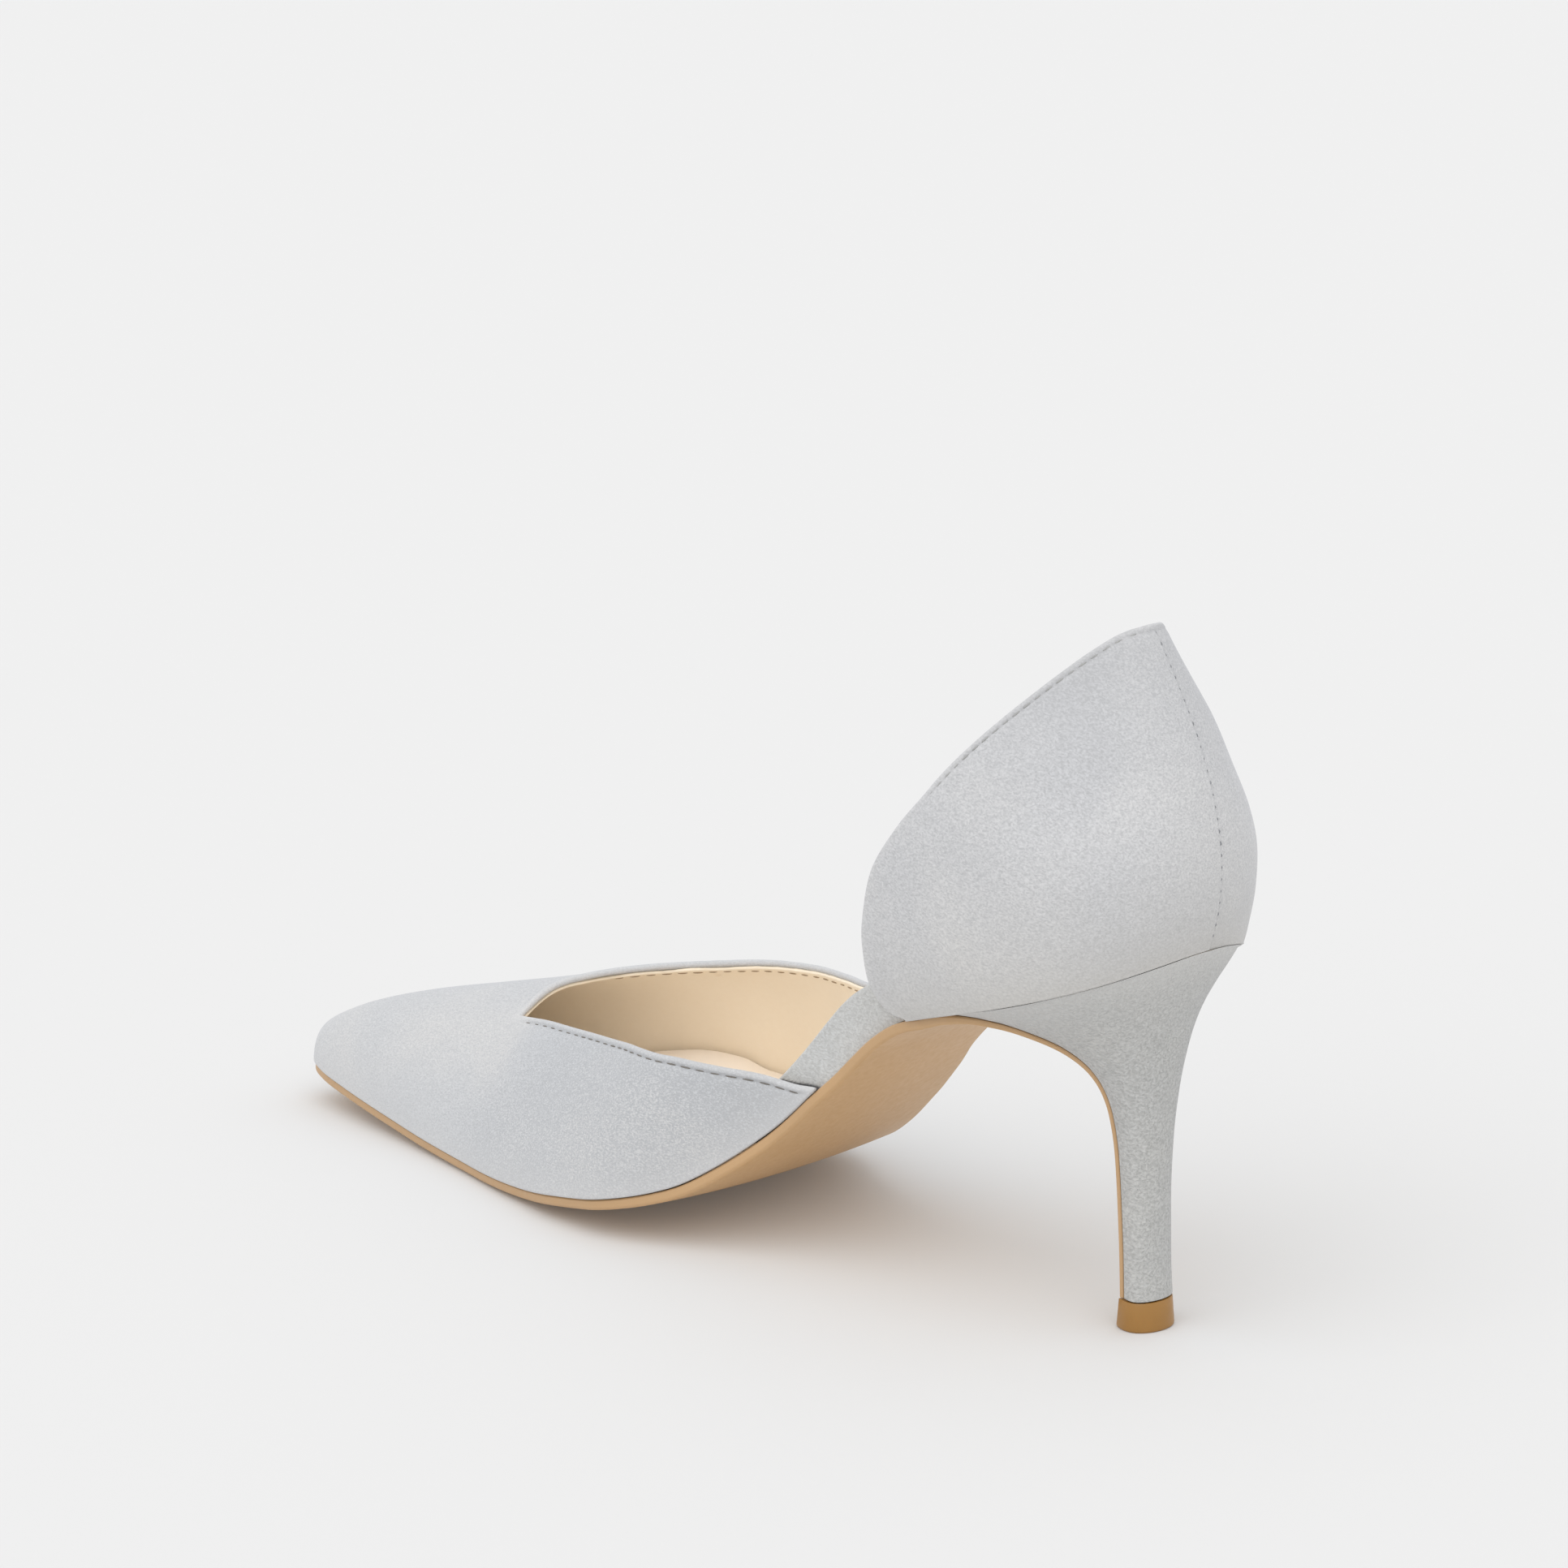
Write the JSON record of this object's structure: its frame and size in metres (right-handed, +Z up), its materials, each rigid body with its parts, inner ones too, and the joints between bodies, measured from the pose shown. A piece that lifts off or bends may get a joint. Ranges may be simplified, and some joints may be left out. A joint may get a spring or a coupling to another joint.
{
  "type": "high heel",
  "caption": "Suede stiletto pump with cut-away sides, a pointed toe, a tall closed heel counter and a slim covered heel; worn on the foot and stands on its sole",
  "frame": {"origin": "on the floor, in the middle of the bounding box", "axes": "+X to the toe, +Y to the shoe's left, which is its inner side, +Z up"},
  "size_m": [0.232, 0.0716, 0.1279],
  "materials": {
    "suede": "pale blue-grey suede, matt",
    "heel_suede": "grey suede covering, matt",
    "insole_leather": "cream leather, soft sheen",
    "sole_leather": "tan sole leather, satin",
    "top_piece_plastic": "caramel plastic, satin"
  },
  "bodies": {
    "root": {"upper_vamp": "suede", "upper_counter": "suede", "waist_strip_medial": "suede", "waist_strip_lateral": "suede", "insole": "insole_leather", "outsole": "sole_leather", "heel": "heel_suede", "top_piece": "top_piece_plastic"}
  },
  "joints": []
}
